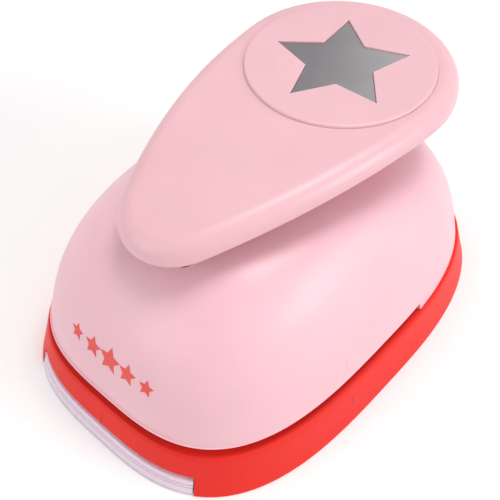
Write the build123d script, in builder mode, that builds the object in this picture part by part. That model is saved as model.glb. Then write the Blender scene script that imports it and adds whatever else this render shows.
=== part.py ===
from build123d import *
import math
import os

os.makedirs("parts", exist_ok=True)

# Lever craft punch. Millimetres, +Z up, origin on the table under the middle of
# the foot. The narrow end of the lever and the mouth of the paper slot face -Y.

# Outline of the body seen from above, at the foot, at the slot and above it
FOOT_HALF_W = 40.0
FOOT_HALF_L = 56.2
FLARE_Z = 4.2
FLARE_HALF_W = 39.1
FLARE_HALF_L = 54.7
BED_Z = 11.0
BED_HALF_W = 37.9
BED_HALF_L = 52.4
SLOT_GAP = 2.4
WALL = 2.2
FRONT_POWER = 3.12
REAR_POWER = 2.8
OUTLINE_POINTS = 32

# Domed housing above the slot
DOME_FOOT_Z = BED_Z
DOME_HALF_W = 37.2
DOME_HALF_L = 51.8
DOME_TOP_Z = 47.2
DOME_POWER_Z = 3.06
DOME_POWER_R = 2.75
DOME_DRAFT = 0.0043
DOME_SECTIONS = (0.0, 0.2, 0.4, 0.56, 0.7, 0.8, 0.88, 0.94)
SADDLE_FRONT_Y = -25.0
SADDLE_FRONT_Z = 45.6
SADDLE_REAR_Y = 27.0
SADDLE_REAR_Z = 40.4
SADDLE_EDGE_R = 5.0
HINGE_WINDOW_HALF_W = 6.8
HINGE_WINDOW_FRONT_Y = -31.9
HINGE_WINDOW_REAR_Y = -5.0
HINGE_WINDOW_R = 2.4

# Plates and the star
DECK_T = 4.4
PLATE_T = 2.4
DIE_Y = -13.5
DIE_HALF_W = 29.0
DIE_FRONT_Y = -37.0
SLOT_REAR_Y = 15.0
SPACER_HALF_W = 27.0
SPACER_REAR_Y = 36.0
GUIDE_HALF_W = 29.0
GUIDE_FRONT_Y = -44.0
GUIDE_CORNER_R = 12.0
STAR_TIP_R = 15.5
STAR_ROOT_R = 7.75
STAR_POINTS = 5
STAR_FIT = 0.08
POCKET_FIT = 0.2
CHIP_HOLE_R = 18.0

# Plunger and its springs
PUNCH_Z = 13.6
HOLDER_Z = 27.0
HOLDER_T = 3.0
HOLDER_HALF_W = 23.0
HOLDER_HALF_L = 17.0
CAP_R = 6.5
CAP_TOP_Z = 37.75
POST_X = 19.0
POST_Y = 12.0
POST_R = 1.6
POST_TOP_Z = 34.0
POST_CHAMFER = 0.4
POST_CLEARANCE = 0.3
CAP_CHAMFER = 0.6
SPRING_WIRE_R = 0.4
SPRING_COIL_R = 2.7
SPRING_TURNS = 6
SPRING_END_GAP = 0.05

# Lever, its pivot and its roller
LEVER_WIDE_R = 25.9
LEVER_WIDE_Y = 25.8
LEVER_NARROW_R = 12.7
LEVER_NARROW_Y = -24.5
LEVER_SIDE_R = 140.0
LEVER_TOP_Z = 57.0
LEVER_RIM_T = 4.6
LEVER_EDGE_R = 3.6
LEVER_BEND_Y = 13.0
LEVER_BEND_R = 250.0
LEVER_WALL = 2.2
BADGE_Y = 25.4
BADGE_R = 21.2
BADGE_TOP_Z = 57.6
BADGE_T = 1.8
BADGE_GROOVE = 0.3
BADGE_EDGE_R = 0.4
INLAY_T = 0.8
INLAY_SUNK = 0.35
INLAY_TURN = -5.0
PIVOT_Y = -26.0
PIVOT_Z = 44.0
PIN_R = 1.5
PIN_HALF_L = 6.3
EAR_OUT_X = 5.5
EAR_T = 1.2
LUG_OUT_X = 4.0
LUG_T = 2.0
EAR_R = 4.0
LUG_TOP_Z = 52.5
CLIP_R = 2.6
CLIP_T = 0.6
CLIP_GAP = 0.1
CLIP_MOUTH_W = 1.6
BRACKET_T = 1.6
BRACKET_FOOT_Y = -38.0
BRACKET_FOOT_L = 8.0
BRACKET_FOOT_HALF_W = 12.0
BRACKET_WEB_H = 12.0
EAR_BACK = ((-42, 24), (-38.5, 32), (-31.2, 38.5), (-29.9, 43))
EAR_FRONT = ((-22.1, 43), (-24, 37.5), (-31.2, 33), (-31.2, 24))
EAR_FOOT_Y = (-42, -34)
LUG_R = 3.6
ROLLER_Y = -10.5
ROLLER_R = 4.0
ROLLER_HALF_W = 2.6
ROLLER_LIFT = 0.3
ROLLER_PIN_R = 1.3
ROLLER_EDGE_R = 0.4
CHEEK_T = 1.8
CHEEK_GAP = 0.3
CHEEK_R = 3.2
RUNNING_FIT = 0.05

# Chip tray under the base and its hinge
TRAY_Z = 0.2
TRAY_T = 1.3
TRAY_RIM_Z = 4.0
TRAY_LIP_HALF_X = 25.2
TRAY_GAP = 0.4
TRAY_HINGE_Y = 43.0
TRAY_HINGE_Z = 2.6
TRAY_PIN_R = 1.1
KNUCKLE_R = 2.3
KNUCKLE_W = 4.0
KNUCKLE_X = 14.5
BRACKET_W = 4.6
BRACKET_X = 19.5
HINGE_PIN_L = 9.0
HINGE_PIN_X = 17.0
TRAY_END_Y = 38.6
TRAY_WINDOW_L = 28.0
TRAY_LIP_L = 26.0
TRAY_SIDE_T = 1.5
LIP_GROOVE_Z = (1.5, 2.7)
LIP_GROOVE_H = 0.35
LIP_GROOVE_DEPTH = 0.85

# Fasteners
SCREW_R = 1.5
SCREW_HEAD_R = 2.8
REAR_SCREW_X = 24.0
REAR_SCREW_Y = 32.0
FRONT_SCREW_X = 24.0
FRONT_SCREW_Y = -36.0
DIE_SCREW_X = 25.0
DIE_SCREW_Y = 19.5
RIVET_X = 8.5
RIVET_Y = -38.0
BOSS_R = 3.2
SCREW_BITE = 9.0
SCREW_HEAD_T = 1.8
SCREW_SLOT_W = 0.7
SCREW_SLOT_DEPTH = 0.8
DIE_SCREW_SLOT_DEPTH = 0.5
DIE_SCREW_TAIL = 1.2
RIVET_HEAD_R = 2.4
RIVET_HEAD_T = 1.2
HOLDER_SCREW_R = 11.0
HOLDER_SCREW_SHANK_R = 1.2
HOLDER_SCREW_HEAD_R = 2.4
HOLDER_SCREW_HEAD_T = 1.6
HOLDER_CORNER_R = 5.0

plate_top_z = BED_Z + SLOT_GAP + PLATE_T
guide_z = BED_Z + SLOT_GAP
deck_z = BED_Z - DECK_T
roller_z = CAP_TOP_Z + ROLLER_LIFT + ROLLER_R
BOTTOM = (Align.CENTER, Align.CENTER, Align.MIN)
TOP = (Align.CENTER, Align.CENTER, Align.MAX)


def plan_outline(half_w, half_l):
    """Superellipse, squarer in its front half (-Y) than in its rear half."""
    points = []
    for k in range(OUTLINE_POINTS):
        angle = 2 * math.pi * k / OUTLINE_POINTS
        power = 2 / (FRONT_POWER if math.sin(angle) < 0 else REAR_POWER)
        x = half_w * math.copysign(abs(math.cos(angle)) ** power, math.cos(angle))
        y = half_l * math.copysign(abs(math.sin(angle)) ** power, math.sin(angle))
        points.append((x, y))
    with BuildSketch(mode=Mode.PRIVATE) as outline:
        with BuildLine():
            Spline(*points, periodic=True)
        make_face()
    return outline.sketch


def star(tip_r, root_r, turn=0.0):
    """Five-pointed star with one point towards -Y."""
    with BuildSketch(mode=Mode.PRIVATE) as outline:
        points = []
        for k in range(2 * STAR_POINTS):
            reach = tip_r if k % 2 == 0 else root_r
            angle = math.radians(-90 + turn + 180 / STAR_POINTS * k)
            points.append((reach * math.cos(angle), reach * math.sin(angle)))
        with BuildLine():
            Polyline(*points, close=True)
        make_face()
    return outline.sketch


def dome_size(height_share, inset):
    """Half width, half length and height of the dome at a share of its height."""
    top_z = DOME_TOP_Z - inset
    z = DOME_FOOT_Z + (top_z - DOME_FOOT_Z) * height_share
    crown = (1 - height_share**DOME_POWER_Z) ** (1 / DOME_POWER_R)
    scale = crown * (1 - DOME_DRAFT * (z - DOME_FOOT_Z))
    return (DOME_HALF_W - inset) * scale, (DOME_HALF_L - inset) * scale, z


def dome(inset):
    """Solid dome with the flat saddle under the lever, its surface moved in by inset."""
    slope = (SADDLE_REAR_Z - SADDLE_FRONT_Z) / (SADDLE_REAR_Y - SADDLE_FRONT_Y)
    front_z = SADDLE_FRONT_Z - inset + slope * (-BED_HALF_L - SADDLE_FRONT_Y)
    rear_z = SADDLE_FRONT_Z - inset + slope * (BED_HALF_L - SADDLE_FRONT_Y)
    sky_z = 2 * DOME_TOP_Z
    with BuildPart(mode=Mode.PRIVATE) as solid:
        for height_share in DOME_SECTIONS:
            half_w, half_l, z = dome_size(height_share, inset)
            with BuildSketch(Plane.XY.offset(z)):
                add(plan_outline(half_w, half_l))
        loft()
        with BuildSketch(Plane.YZ):
            with BuildLine():
                Polyline(
                    (-BED_HALF_L, front_z), (BED_HALF_L, rear_z), (BED_HALF_L, sky_z),
                    (-BED_HALF_L, sky_z), close=True,
                )
            make_face()
        extrude(amount=BED_HALF_W, both=True, mode=Mode.SUBTRACT)
        fillet(solid.faces().sort_by(Axis.Z)[-1].edges(), SADDLE_EDGE_R - inset)
    return solid.part


def side_circle():
    """Centre of the large circle that touches both ends of the lever on its +X side."""
    to_wide = LEVER_SIDE_R - LEVER_WIDE_R
    to_narrow = LEVER_SIDE_R - LEVER_NARROW_R
    span = LEVER_WIDE_Y - LEVER_NARROW_Y
    along = (to_narrow**2 - to_wide**2 + span**2) / (2 * span)
    return -math.sqrt(to_narrow**2 - along**2), LEVER_NARROW_Y + along


def teardrop(inset):
    """Lever outline: two end circles joined by long bulging arcs."""
    centre_x, centre_y = side_circle()

    def touch(circle_y, radius):
        away = math.hypot(-centre_x, circle_y - centre_y)
        reach = radius - inset
        return -centre_x / away * reach, circle_y + (circle_y - centre_y) / away * reach

    wide_x, wide_y = touch(LEVER_WIDE_Y, LEVER_WIDE_R)
    narrow_x, narrow_y = touch(LEVER_NARROW_Y, LEVER_NARROW_R)
    mid_y = (wide_y + narrow_y) / 2
    side_r = LEVER_SIDE_R - inset
    mid_x = centre_x + math.sqrt(side_r**2 - (mid_y - centre_y) ** 2)
    wide_end = LEVER_WIDE_Y + LEVER_WIDE_R - inset
    narrow_end = LEVER_NARROW_Y - LEVER_NARROW_R + inset
    with BuildSketch(mode=Mode.PRIVATE) as outline:
        with BuildLine():
            ThreePointArc((-narrow_x, narrow_y), (0, narrow_end), (narrow_x, narrow_y))
            ThreePointArc((narrow_x, narrow_y), (mid_x, mid_y), (wide_x, wide_y))
            ThreePointArc((wide_x, wide_y), (0, wide_end), (-wide_x, wide_y))
            ThreePointArc((-wide_x, wide_y), (-mid_x, mid_y), (-narrow_x, narrow_y))
        make_face()
    return outline.sketch


def lever_solid(inset, depth):
    """Teardrop slab whose top runs level and then bends down to the narrow end."""
    top = LEVER_TOP_Z - inset
    near_y = LEVER_NARROW_Y - 2 * LEVER_NARROW_R
    drop_r = LEVER_BEND_R - inset
    tip_z = top - drop_r + math.sqrt(drop_r**2 - (near_y - LEVER_BEND_Y) ** 2)
    mid_y = (near_y + LEVER_BEND_Y) / 2
    mid_z = top - drop_r + math.sqrt(drop_r**2 - (mid_y - LEVER_BEND_Y) ** 2)
    far_y = LEVER_WIDE_Y + 2 * LEVER_WIDE_R
    with BuildPart(mode=Mode.PRIVATE) as slab:
        with BuildSketch(Plane.XY.offset(top - 4 * depth)):
            add(teardrop(inset))
        extrude(amount=4 * depth)
        with BuildSketch(Plane.YZ):
            with BuildLine():
                Line((far_y, top - depth), (far_y, top))
                Line((far_y, top), (LEVER_BEND_Y, top))
                ThreePointArc((LEVER_BEND_Y, top), (mid_y, mid_z), (near_y, tip_z))
                Line((near_y, tip_z), (near_y, tip_z - depth))
                ThreePointArc(
                    (near_y, tip_z - depth), (mid_y, mid_z - depth), (LEVER_BEND_Y, top - depth)
                )
                Line((LEVER_BEND_Y, top - depth), (far_y, top - depth))
            make_face()
        extrude(amount=2 * LEVER_WIDE_R, both=True, mode=Mode.INTERSECT)
        if inset == 0:
            crown = slab.edges().filter_by(lambda e: is_upper_rim(e, depth))
            fillet(crown, LEVER_EDGE_R)
    return slab.part


def is_upper_rim(edge, depth):
    """True for the edges round the top face of the lever slab, not across it."""
    middle = edge.position_at(0.5)
    bend = max(0.0, LEVER_BEND_Y - middle.Y)
    top = LEVER_TOP_Z - LEVER_BEND_R + math.sqrt(LEVER_BEND_R**2 - bend**2)
    return abs(middle.Z - top) < depth / 4 and edge.tangent_at(0.5).Z**2 < 0.9 and (
        abs(middle.X) > 2 or abs(middle.Y - LEVER_BEND_Y) > 2
    )


# Red base: flared skirt, thick deck with a pocket for the die plate
with BuildPart() as base_shell:
    with BuildSketch(Plane.XY):
        add(plan_outline(FOOT_HALF_W, FOOT_HALF_L))
    with BuildSketch(Plane.XY.offset(FLARE_Z)):
        add(plan_outline(FLARE_HALF_W, FLARE_HALF_L))
    loft()
    with BuildSketch(Plane.XY.offset(FLARE_Z)):
        add(plan_outline(FLARE_HALF_W, FLARE_HALF_L))
    with BuildSketch(Plane.XY.offset(BED_Z)):
        add(plan_outline(BED_HALF_W, BED_HALF_L))
    loft()
    with BuildSketch(Plane.XY):
        add(plan_outline(BED_HALF_W - WALL, BED_HALF_L - WALL))
    extrude(amount=deck_z, mode=Mode.SUBTRACT)
    with BuildSketch(Plane.XY.offset(BED_Z - PLATE_T)):
        with Locations((0, (DIE_FRONT_Y + SLOT_REAR_Y) / 2)):
            Rectangle(2 * DIE_HALF_W + POCKET_FIT, SLOT_REAR_Y - DIE_FRONT_Y + POCKET_FIT)
    extrude(amount=PLATE_T, mode=Mode.SUBTRACT)
    with Locations((0, DIE_Y, deck_z)):
        Cylinder(CHIP_HOLE_R, DECK_T, align=BOTTOM, mode=Mode.SUBTRACT)
    # window for the front lip of the tray
    with Locations((0, -FOOT_HALF_L, 0)):
        Box(
            2 * (TRAY_LIP_HALF_X + TRAY_GAP), TRAY_WINDOW_L, TRAY_RIM_Z + TRAY_GAP,
            align=BOTTOM, mode=Mode.SUBTRACT,
        )
    # screw holes through the deck: four for the die plate, two at the rear
    with BuildSketch(Plane.XY.offset(deck_z)):
        with Locations((0, DIE_Y)):
            with GridLocations(2 * DIE_SCREW_X, 2 * DIE_SCREW_Y, 2, 2):
                Circle(SCREW_R)
        with Locations((-REAR_SCREW_X, REAR_SCREW_Y), (REAR_SCREW_X, REAR_SCREW_Y)):
            Circle(SCREW_R)
    extrude(amount=DECK_T, mode=Mode.SUBTRACT)
    # hinge brackets for the tray
    for side in (-1, 1):
        with Locations((side * BRACKET_X, TRAY_HINGE_Y, deck_z)):
            Box(BRACKET_W, 2 * KNUCKLE_R, deck_z - TRAY_HINGE_Z, align=TOP)
        with Locations(Location((side * BRACKET_X, TRAY_HINGE_Y, TRAY_HINGE_Z), (0, 90, 0))):
            Cylinder(KNUCKLE_R, BRACKET_W)
    with Locations(Location((0, TRAY_HINGE_Y, TRAY_HINGE_Z), (0, 90, 0))):
        Cylinder(TRAY_PIN_R, 2 * BRACKET_X + BRACKET_W, mode=Mode.SUBTRACT)
base_shell.part.label = "base_shell"
export_step(base_shell.part, "parts/base_shell.step")

# Translucent chip tray: flat pan, ridged front lip, two hinge knuckles at the rear
with BuildPart() as chip_tray:
    with BuildSketch(Plane.XY.offset(TRAY_Z)):
        add(plan_outline(FOOT_HALF_W - RUNNING_FIT, FOOT_HALF_L - RUNNING_FIT))
    with BuildSketch(Plane.XY.offset(TRAY_RIM_Z)):
        add(plan_outline(FLARE_HALF_W, FLARE_HALF_L))
    loft()
    with Locations((0, -FOOT_HALF_L, 0)):
        Box(
            2 * TRAY_LIP_HALF_X, TRAY_LIP_L, BED_Z,
            align=BOTTOM, mode=Mode.INTERSECT,
        )
    for groove_z in LIP_GROOVE_Z:
        with BuildSketch(Plane.XY.offset(groove_z)):
            add(plan_outline(FOOT_HALF_W + WALL, FOOT_HALF_L + WALL))
            floor_half_w = FOOT_HALF_W - LIP_GROOVE_DEPTH
            add(plan_outline(floor_half_w, FOOT_HALF_L - LIP_GROOVE_DEPTH), mode=Mode.SUBTRACT)
        extrude(amount=LIP_GROOVE_H, mode=Mode.SUBTRACT)
    pan_half_w = BED_HALF_W - WALL - TRAY_GAP
    pan_half_l = BED_HALF_L - WALL - TRAY_GAP
    with BuildSketch(Plane.XY.offset(TRAY_Z)):
        add(plan_outline(pan_half_w, pan_half_l))
    extrude(amount=TRAY_RIM_Z - TRAY_Z)
    with BuildSketch(Plane.XY.offset(TRAY_Z + TRAY_T)):
        add(plan_outline(pan_half_w - TRAY_SIDE_T, pan_half_l - TRAY_SIDE_T))
        with Locations((0, TRAY_END_Y - TRAY_SIDE_T)):
            Rectangle(
                2 * FOOT_HALF_W, FOOT_HALF_L, align=(Align.CENTER, Align.MIN), mode=Mode.SUBTRACT
            )
    extrude(amount=TRAY_RIM_Z, mode=Mode.SUBTRACT)
    # end the pan short of the hinge line, then add the two knuckles
    with Locations((0, TRAY_END_Y, 0)):
        Box(
            2 * FOOT_HALF_W, FOOT_HALF_L, BED_Z,
            align=(Align.CENTER, Align.MIN, Align.MIN), mode=Mode.SUBTRACT,
        )
    for side in (-1, 1):
        with Locations((side * KNUCKLE_X, TRAY_HINGE_Y, TRAY_Z)):
            Box(
                KNUCKLE_W, TRAY_HINGE_Y - TRAY_END_Y + TRAY_SIDE_T, TRAY_T,
                align=(Align.CENTER, Align.MAX, Align.MIN),
            )
        with Locations(Location((side * KNUCKLE_X, TRAY_HINGE_Y, TRAY_HINGE_Z), (0, 90, 0))):
            Cylinder(KNUCKLE_R, KNUCKLE_W)
    with Locations(Location((0, TRAY_HINGE_Y, TRAY_HINGE_Z), (0, 90, 0))):
        Cylinder(TRAY_PIN_R + RUNNING_FIT, 2 * KNUCKLE_X + KNUCKLE_W, mode=Mode.SUBTRACT)
chip_tray.part.label = "chip_tray"
export_step(chip_tray.part, "parts/chip_tray.step")

# Tray hinge pins, pressed into the base's brackets
with BuildPart() as tray_pins:
    for side in (-1, 1):
        with Locations(Location((side * HINGE_PIN_X, TRAY_HINGE_Y, TRAY_HINGE_Z), (0, 90, 0))):
            Cylinder(TRAY_PIN_R, HINGE_PIN_L)
tray_pins.part.label = "tray_pins"
export_step(tray_pins.part, "parts/tray_pins.step")

# Hardened die plate with the star hole
with BuildPart() as die_plate:
    with BuildSketch(Plane.XY.offset(BED_Z - PLATE_T)):
        with Locations((0, (DIE_FRONT_Y + SLOT_REAR_Y) / 2)):
            Rectangle(2 * DIE_HALF_W, SLOT_REAR_Y - DIE_FRONT_Y)
        with Locations((0, DIE_Y)):
            add(star(STAR_TIP_R + STAR_FIT, STAR_ROOT_R + STAR_FIT), mode=Mode.SUBTRACT)
    extrude(amount=PLATE_T)
    with Locations((0, DIE_Y, BED_Z)):
        with GridLocations(2 * DIE_SCREW_X, 2 * DIE_SCREW_Y, 2, 2):
            CounterSinkHole(SCREW_R, SCREW_HEAD_R)
die_plate.part.label = "die_plate"
export_step(die_plate.part, "parts/die_plate.step")

# Four countersunk screws that hold the die plate down
with BuildPart() as die_screws:
    with Locations((0, DIE_Y, BED_Z)):
        with GridLocations(2 * DIE_SCREW_X, 2 * DIE_SCREW_Y, 2, 2):
            Cylinder(SCREW_R, DECK_T + DIE_SCREW_TAIL, align=TOP)
            Cone(SCREW_R, SCREW_HEAD_R, SCREW_HEAD_R - SCREW_R, align=TOP)
            for slot_x, slot_y in ((2 * SCREW_R, SCREW_SLOT_W), (SCREW_SLOT_W, 2 * SCREW_R)):
                Box(slot_x, slot_y, DIE_SCREW_SLOT_DEPTH, align=TOP, mode=Mode.SUBTRACT)
die_screws.part.label = "die_screws"
export_step(die_screws.part, "parts/die_screws.step")

# Spacer block that closes the slot at the rear
with BuildPart() as rear_spacer:
    with BuildSketch(Plane.XY.offset(BED_Z)):
        with Locations((0, (SLOT_REAR_Y + SPACER_REAR_Y) / 2)):
            Rectangle(2 * SPACER_HALF_W, SPACER_REAR_Y - SLOT_REAR_Y)
        with Locations((-REAR_SCREW_X, REAR_SCREW_Y), (REAR_SCREW_X, REAR_SCREW_Y)):
            Circle(SCREW_R, mode=Mode.SUBTRACT)
    extrude(amount=SLOT_GAP)
rear_spacer.part.label = "rear_spacer"
export_step(rear_spacer.part, "parts/rear_spacer.step")

# Upper steel plate that guides the punch
with BuildPart() as guide_plate:
    with BuildSketch(Plane.XY.offset(guide_z)):
        with Locations((0, (GUIDE_FRONT_Y + SPACER_REAR_Y) / 2)):
            RectangleRounded(2 * GUIDE_HALF_W, SPACER_REAR_Y - GUIDE_FRONT_Y, GUIDE_CORNER_R)
        with Locations((0, DIE_Y)):
            add(star(STAR_TIP_R + STAR_FIT, STAR_ROOT_R + STAR_FIT), mode=Mode.SUBTRACT)
        with Locations((-REAR_SCREW_X, REAR_SCREW_Y), (REAR_SCREW_X, REAR_SCREW_Y)):
            Circle(SCREW_R, mode=Mode.SUBTRACT)
        with Locations((-FRONT_SCREW_X, FRONT_SCREW_Y), (FRONT_SCREW_X, FRONT_SCREW_Y)):
            Circle(SCREW_R, mode=Mode.SUBTRACT)
        with Locations((0, DIE_Y)):
            with GridLocations(2 * POST_X, 2 * POST_Y, 2, 2):
                Circle(POST_R, mode=Mode.SUBTRACT)
        with Locations((-RIVET_X, RIVET_Y), (RIVET_X, RIVET_Y)):
            Circle(SCREW_R, mode=Mode.SUBTRACT)
    extrude(amount=PLATE_T)
guide_plate.part.label = "guide_plate"
export_step(guide_plate.part, "parts/guide_plate.step")

# Pale domed housing: thin shell, saddle on top, window for the lever's hinge, screw bosses
screw_places = [(side * REAR_SCREW_X, REAR_SCREW_Y) for side in (-1, 1)]
screw_places += [(side * FRONT_SCREW_X, FRONT_SCREW_Y) for side in (-1, 1)]

with BuildPart() as boss_core:
    add(dome(WALL / 2))
    with BuildSketch(Plane.XY.offset(plate_top_z)):
        with Locations(*screw_places):
            Circle(BOSS_R)
    extrude(amount=DOME_TOP_Z, mode=Mode.INTERSECT)

with BuildPart() as housing_shell:
    add(dome(0))
    add(dome(WALL), mode=Mode.SUBTRACT)
    # the paper slot: the housing's lower edge is raised in front of the spacer
    with Locations((0, SLOT_REAR_Y, DOME_FOOT_Z)):
        Box(
            3 * BED_HALF_W, 3 * BED_HALF_L, SLOT_GAP,
            align=(Align.CENTER, Align.MAX, Align.MIN), mode=Mode.SUBTRACT,
        )
    # window for the lever's hinge and roller
    with BuildSketch(Plane.XY.offset(guide_z + WALL)):
        with Locations((0, (HINGE_WINDOW_FRONT_Y + HINGE_WINDOW_REAR_Y) / 2)):
            RectangleRounded(
                2 * HINGE_WINDOW_HALF_W, HINGE_WINDOW_REAR_Y - HINGE_WINDOW_FRONT_Y, HINGE_WINDOW_R
            )
    extrude(amount=DOME_TOP_Z, mode=Mode.SUBTRACT)
    add(boss_core.part)
    with BuildSketch(Plane.XY.offset(plate_top_z)):
        with Locations(*screw_places):
            Circle(SCREW_R)
    extrude(amount=SCREW_BITE, mode=Mode.SUBTRACT)
housing_shell.part.label = "housing_shell"
export_step(housing_shell.part, "parts/housing_shell.step")

# Long screws from under the base into the housing, short ones through the guide plate
with BuildPart() as housing_screws:
    for place_x, place_y in screw_places[:2]:
        with Locations((place_x, place_y, deck_z)):
            Cylinder(SCREW_R, plate_top_z + SCREW_BITE - deck_z, align=BOTTOM)
            Cylinder(SCREW_HEAD_R, SCREW_HEAD_T, align=TOP)
        with Locations((place_x, place_y, deck_z - SCREW_HEAD_T)):
            for slot_x, slot_y in ((2 * SCREW_R, SCREW_SLOT_W), (SCREW_SLOT_W, 2 * SCREW_R)):
                Box(slot_x, slot_y, SCREW_SLOT_DEPTH, align=BOTTOM, mode=Mode.SUBTRACT)
housing_screws.part.label = "housing_screws"
export_step(housing_screws.part, "parts/housing_screws.step")

with BuildPart() as guide_screws:
    for place_x, place_y in screw_places[2:]:
        with Locations((place_x, place_y, guide_z)):
            Cylinder(SCREW_R, PLATE_T + SCREW_BITE, align=BOTTOM)
guide_screws.part.label = "guide_screws"
export_step(guide_screws.part, "parts/guide_screws.step")

# Four guide posts pressed into the guide plate
with BuildPart() as spring_posts:
    with Locations((0, DIE_Y, guide_z)):
        with GridLocations(2 * POST_X, 2 * POST_Y, 2, 2):
            Cylinder(POST_R, POST_TOP_Z - guide_z, align=BOTTOM)
    chamfer(spring_posts.edges().group_by(Axis.Z)[-1], POST_CHAMFER)
spring_posts.part.label = "spring_posts"
export_step(spring_posts.part, "parts/spring_posts.step")

# Return springs round the posts
with BuildPart() as coil:
    with BuildLine():
        rise = HOLDER_Z - plate_top_z - 2 * SPRING_WIRE_R - 2 * SPRING_END_GAP
        helix = Helix(rise / SPRING_TURNS, rise, SPRING_COIL_R)
    with BuildSketch(Plane(origin=helix @ 0, z_dir=helix % 0)):
        Circle(SPRING_WIRE_R)
    sweep(is_frenet=True)

with BuildPart() as return_springs:
    with Locations((0, DIE_Y, plate_top_z + SPRING_WIRE_R + SPRING_END_GAP)):
        with GridLocations(2 * POST_X, 2 * POST_Y, 2, 2):
            add(coil.part)
return_springs.part.label = "return_springs"
export_step(return_springs.part, "parts/return_springs.step")

# Star-shaped punch
with BuildPart() as star_punch:
    with BuildSketch(Plane.XY.offset(PUNCH_Z)):
        with Locations((0, DIE_Y)):
            add(star(STAR_TIP_R, STAR_ROOT_R))
    extrude(amount=HOLDER_Z - PUNCH_Z)
star_punch.part.label = "star_punch"
export_step(star_punch.part, "parts/star_punch.step")

# Punch holder: flange that slides on the posts
with BuildPart() as punch_holder:
    with BuildSketch(Plane.XY.offset(HOLDER_Z)):
        with Locations((0, DIE_Y)):
            RectangleRounded(2 * HOLDER_HALF_W, 2 * HOLDER_HALF_L, HOLDER_CORNER_R)
            with GridLocations(2 * POST_X, 2 * POST_Y, 2, 2):
                Circle(POST_R + POST_CLEARANCE, mode=Mode.SUBTRACT)
            with PolarLocations(HOLDER_SCREW_R, 2, start_angle=90):
                Circle(HOLDER_SCREW_SHANK_R, mode=Mode.SUBTRACT)
    extrude(amount=HOLDER_T)
punch_holder.part.label = "punch_holder"
export_step(punch_holder.part, "parts/punch_holder.step")

# Two screws that hold the punch to its holder
with BuildPart() as holder_screws:
    with Locations((0, DIE_Y, HOLDER_Z)):
        with PolarLocations(HOLDER_SCREW_R, 2, start_angle=90):
            Cylinder(HOLDER_SCREW_SHANK_R, HOLDER_T, align=BOTTOM)
    with Locations((0, DIE_Y, HOLDER_Z + HOLDER_T)):
        with PolarLocations(HOLDER_SCREW_R, 2, start_angle=90):
            Cylinder(HOLDER_SCREW_HEAD_R, HOLDER_SCREW_HEAD_T, align=BOTTOM)
holder_screws.part.label = "holder_screws"
export_step(holder_screws.part, "parts/holder_screws.step")

# Wear cap that the lever's roller presses
with BuildPart() as pressure_cap:
    with BuildSketch(Plane.XY.offset(HOLDER_Z + HOLDER_T)):
        with Locations((0, DIE_Y)):
            Circle(CAP_R)
    extrude(amount=CAP_TOP_Z - HOLDER_Z - HOLDER_T)
    chamfer(pressure_cap.edges().group_by(Axis.Z)[-1], CAP_CHAMFER)
pressure_cap.part.label = "pressure_cap"
export_step(pressure_cap.part, "parts/pressure_cap.step")

# Steel bracket: foot on the guide plate, front web, two ears that carry the pivot pin
with BuildPart() as lever_bracket:
    with BuildSketch(Plane.XY.offset(plate_top_z)):
        with Locations((0, BRACKET_FOOT_Y)):
            Rectangle(2 * BRACKET_FOOT_HALF_W, BRACKET_FOOT_L)
        with Locations((-RIVET_X, RIVET_Y), (RIVET_X, RIVET_Y)):
            Circle(SCREW_R, mode=Mode.SUBTRACT)
    extrude(amount=BRACKET_T)
    with Locations((0, BRACKET_FOOT_Y - BRACKET_FOOT_L / 2, plate_top_z)):
        Box(
            2 * EAR_OUT_X, BRACKET_T, BRACKET_WEB_H,
            align=(Align.CENTER, Align.MIN, Align.MIN),
        )
    for ear_x in (-EAR_OUT_X, EAR_OUT_X - EAR_T):
        with BuildSketch(Plane.YZ.offset(ear_x)):
            with BuildLine():
                Polyline(
                    (EAR_FOOT_Y[0], plate_top_z), *EAR_BACK, *EAR_FRONT,
                    (EAR_FOOT_Y[1], plate_top_z), close=True,
                )
            make_face()
            with Locations((PIVOT_Y, PIVOT_Z)):
                Circle(EAR_R)
                Circle(PIN_R, mode=Mode.SUBTRACT)
        extrude(amount=EAR_T)
lever_bracket.part.label = "lever_bracket"
export_step(lever_bracket.part, "parts/lever_bracket.step")

# Rivets that hold the bracket down
with BuildPart() as bracket_rivets:
    for side in (-1, 1):
        with Locations((side * RIVET_X, RIVET_Y, guide_z)):
            Cylinder(SCREW_R, PLATE_T + BRACKET_T, align=BOTTOM)
        with Locations((side * RIVET_X, RIVET_Y, plate_top_z + BRACKET_T)):
            Cylinder(RIVET_HEAD_R, RIVET_HEAD_T, align=BOTTOM)
    chamfer(bracket_rivets.edges().group_by(Axis.Z)[-1], RIVET_HEAD_T / 2)
bracket_rivets.part.label = "bracket_rivets"
export_step(bracket_rivets.part, "parts/bracket_rivets.step")

# Lever pivot pin and its two retaining clips
with BuildPart() as lever_pin:
    with Locations(Location((0, PIVOT_Y, PIVOT_Z), (0, 90, 0))):
        Cylinder(PIN_R, 2 * PIN_HALF_L)
lever_pin.part.label = "lever_pin"
export_step(lever_pin.part, "parts/lever_pin.step")

with BuildPart() as pin_clips:
    for side in (-1, 1):
        with BuildSketch(Plane.YZ.offset(side * (EAR_OUT_X + CLIP_GAP + CLIP_T / 2))):
            with Locations((PIVOT_Y, PIVOT_Z)):
                Circle(CLIP_R)
                Circle(PIN_R, mode=Mode.SUBTRACT)
            with Locations((PIVOT_Y, PIVOT_Z - CLIP_R)):
                Rectangle(CLIP_MOUTH_W, 2 * CLIP_R, mode=Mode.SUBTRACT)
        extrude(amount=CLIP_T / 2, both=True)
pin_clips.part.label = "pin_clips"
export_step(pin_clips.part, "parts/pin_clips.step")

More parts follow.
